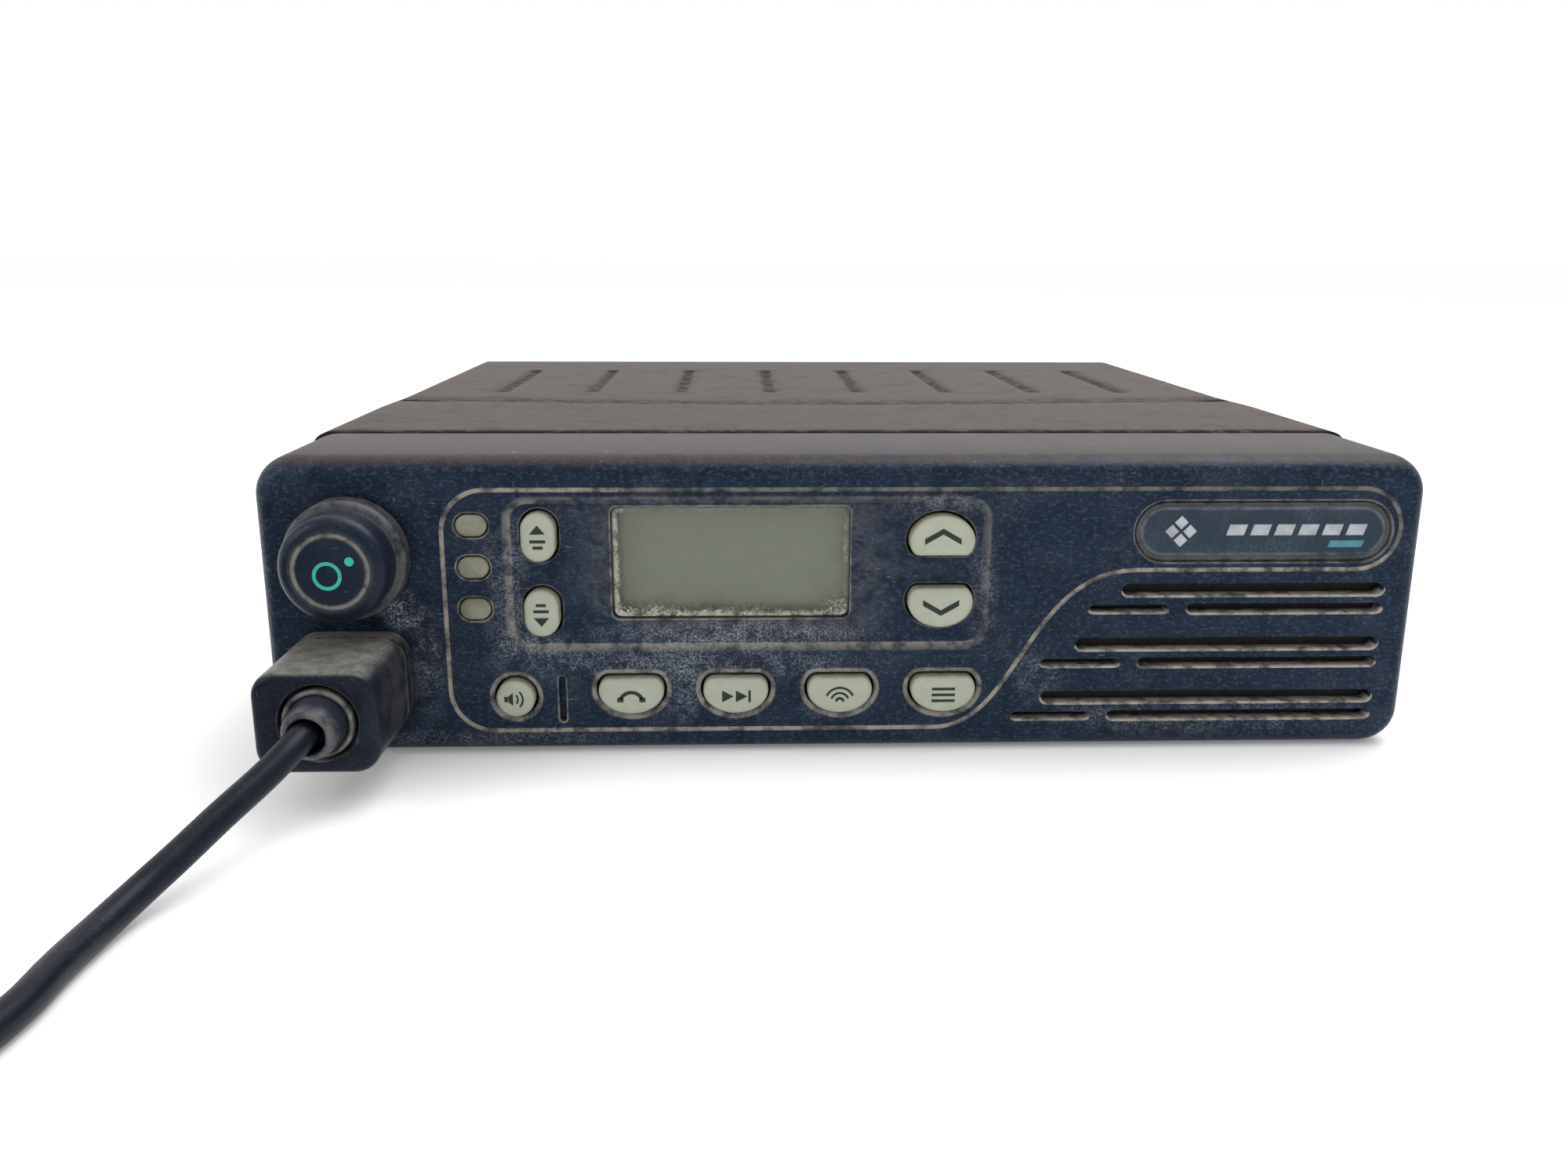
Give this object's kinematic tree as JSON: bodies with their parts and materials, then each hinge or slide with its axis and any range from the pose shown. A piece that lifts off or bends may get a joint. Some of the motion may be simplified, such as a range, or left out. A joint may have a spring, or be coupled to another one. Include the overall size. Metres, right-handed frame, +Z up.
{
  "type": "mobile two-way radio",
  "caption": "Low wide vehicle radio with a rolled-edge control panel, turning volume knob, push keys, display, slotted speaker, finned back and a corded hand microphone.",
  "frame": {"origin": "centre of the underside of the radio casing, on the surface it rests on", "axes": "+X to the right seen from the front, +Y from the control panel to the finned back, +Z up"},
  "size_m": [0.2748, 0.31, 0.044],
  "materials": {
    "badge": "printed film",
    "bezel": "fine spark-eroded grain, dusty",
    "black": "satin moulded",
    "board": "solder mask",
    "brass": "satin",
    "casting": "black cast finish",
    "cover": "satin dark paint under brown dust",
    "felt": "dusty cloth",
    "ferrite": "matt",
    "key": "smooth, faintly yellowed",
    "lamp": "frosted",
    "lcd": "reflective grey-green",
    "lens": "clear, dusty",
    "paper": "pressed paper",
    "plastic_white": "moulded",
    "rubber": "matt",
    "steel": "plated"
  },
  "bodies": {
    "radio": {"accessory_socket": "black", "antenna_relay": "plastic_white", "antenna_socket": "steel", "backlight_guide": "plastic_white", "board_link": "rubber", "bottom_plate": "casting", "chassis": "casting", "control_board": "board", "cord_curl": "rubber", "cord_end": "rubber", "cord_tail": "rubber", "display_window": "lens", "filter_capacitor": "black", "front_bezel": "bezel", "keypad_membrane": "rubber", "lamp_window_lower": "lamp", "lamp_window_middle": "lamp", "lamp_window_upper": "lamp", "lcd_glass": "lcd", "lcd_holder": "plastic_white", "main_board": "board", "mic_board": "board", "mic_element": "steel", "mic_front_shell": "black", "mic_hang_stud": "steel", "mic_jack": "black", "mic_plug": "black", "mic_rear_shell": "black", "mic_strain_relief": "rubber", "nameplate": "badge", "output_coil": "brass", "plate_screw_1": "steel", "plate_screw_2": "steel", "plate_screw_3": "steel", "plate_screw_4": "steel", "plug_strain_relief": "black", "power_inlet": "black", "power_module": "black", "power_pin_left": "brass", "power_pin_right": "brass", "receiver_shield": "steel", "speaker_basket": "steel", "speaker_cloth": "felt", "speaker_cone": "paper", "speaker_magnet": "ferrite", "synthesizer_shield": "steel", "top_cover": "cover", "volume_pot": "steel"},
    "volume_control": {"volume_knob": "black", "volume_shaft": "steel"},
    "select_key": {"select_key": "key"},
    "home_key": {"home_key": "key"},
    "up_key": {"up_key": "key"},
    "down_key": {"down_key": "key"},
    "monitor_key": {"monitor_key": "key"},
    "phone_key": {"phone_key": "key"},
    "scan_key": {"scan_key": "key"},
    "call_key": {"call_key": "key"},
    "menu_key": {"menu_key": "key"},
    "ptt_button": {"ptt_button": "rubber"}
  },
  "joints": [
    {"name": "volume_turn", "type": "hinge", "parent": "radio", "child": "volume_control", "pos_m": [-0.0705, -0.0825, 0.0303], "axis": [0, 1, 0], "range_deg": [-209, 91]},
    {"name": "select_press", "type": "slide", "parent": "radio", "child": "select_key", "axis": [0, 1, 0], "range_m": [0, 0.0008], "stiffness_N_per_m": 500, "springref_m": -0.0008},
    {"name": "home_press", "type": "slide", "parent": "radio", "child": "home_key", "axis": [0, 1, 0], "range_m": [0, 0.0008], "stiffness_N_per_m": 500, "springref_m": -0.0008},
    {"name": "up_press", "type": "slide", "parent": "radio", "child": "up_key", "axis": [0, 1, 0], "range_m": [0, 0.0008], "stiffness_N_per_m": 500, "springref_m": -0.0008},
    {"name": "down_press", "type": "slide", "parent": "radio", "child": "down_key", "axis": [0, 1, 0], "range_m": [0, 0.0008], "stiffness_N_per_m": 500, "springref_m": -0.0008},
    {"name": "monitor_press", "type": "slide", "parent": "radio", "child": "monitor_key", "axis": [0, 1, 0], "range_m": [0, 0.0008], "stiffness_N_per_m": 500, "springref_m": -0.0008},
    {"name": "phone_press", "type": "slide", "parent": "radio", "child": "phone_key", "axis": [0, 1, 0], "range_m": [0, 0.0008], "stiffness_N_per_m": 500, "springref_m": -0.0008},
    {"name": "scan_press", "type": "slide", "parent": "radio", "child": "scan_key", "axis": [0, 1, 0], "range_m": [0, 0.0008], "stiffness_N_per_m": 500, "springref_m": -0.0008},
    {"name": "call_press", "type": "slide", "parent": "radio", "child": "call_key", "axis": [0, 1, 0], "range_m": [0, 0.0008], "stiffness_N_per_m": 500, "springref_m": -0.0008},
    {"name": "menu_press", "type": "slide", "parent": "radio", "child": "menu_key", "axis": [0, 1, 0], "range_m": [0, 0.0008], "stiffness_N_per_m": 500, "springref_m": -0.0008},
    {"name": "ptt_press", "type": "slide", "parent": "radio", "child": "ptt_button", "axis": [1, 0, 0], "range_m": [0, 0.0015], "stiffness_N_per_m": 600, "springref_m": -0.0015}
  ]
}
